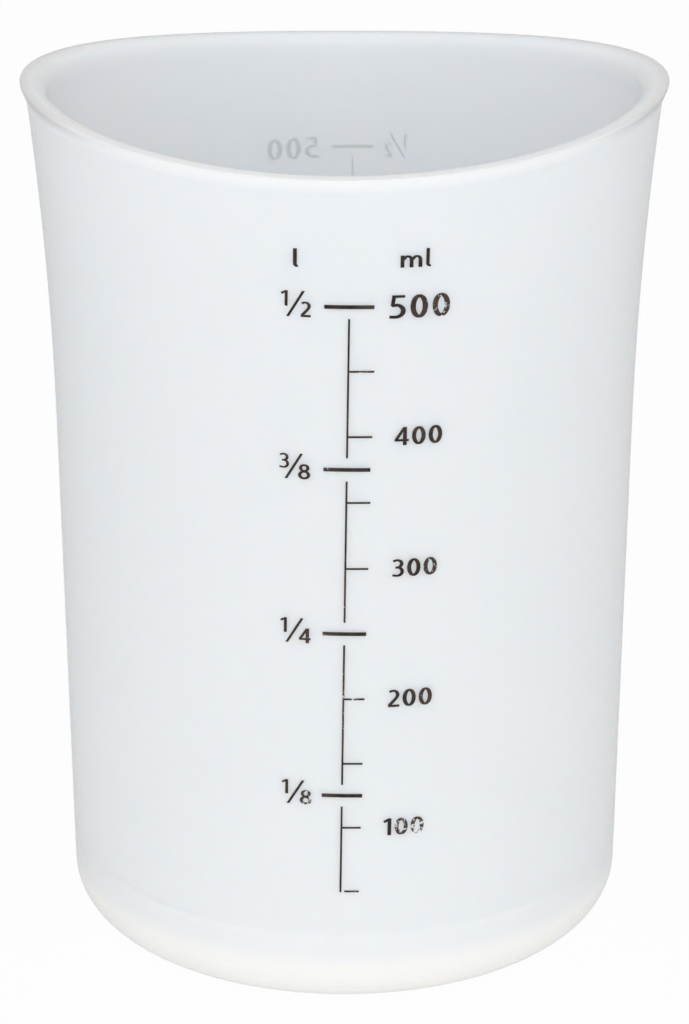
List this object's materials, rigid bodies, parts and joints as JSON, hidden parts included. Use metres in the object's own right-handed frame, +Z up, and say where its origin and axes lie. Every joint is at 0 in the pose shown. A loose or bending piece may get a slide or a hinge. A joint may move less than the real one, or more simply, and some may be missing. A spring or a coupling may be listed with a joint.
{
  "type": "flexible mixing cup",
  "caption": "Translucent soft silicone mixing cup with straight drafted sides, a flared saddle-cut rim with a thin lip, a thick floor, and a printed volume scale front and rear.",
  "frame": {"origin": "centre of the base, on the surface that the cup stands on", "axes": "+Z up through the open mouth; -Y towards the front scale; X across the two high sides of the rim"},
  "size_m": [0.0942, 0.0934, 0.1308],
  "materials": {
    "silicone": "milky translucent silicone rubber, smooth satin",
    "ink": "dark brown-black pad-printed ink, matte"
  },
  "bodies": {
    "root": {"cup_body": "silicone", "front_scale_bars": "ink", "front_scale_ticks": "ink", "front_scale_spine": "ink", "rear_scale_bars": "ink", "rear_scale_ticks": "ink", "rear_scale_spine": "ink"}
  },
  "joints": []
}
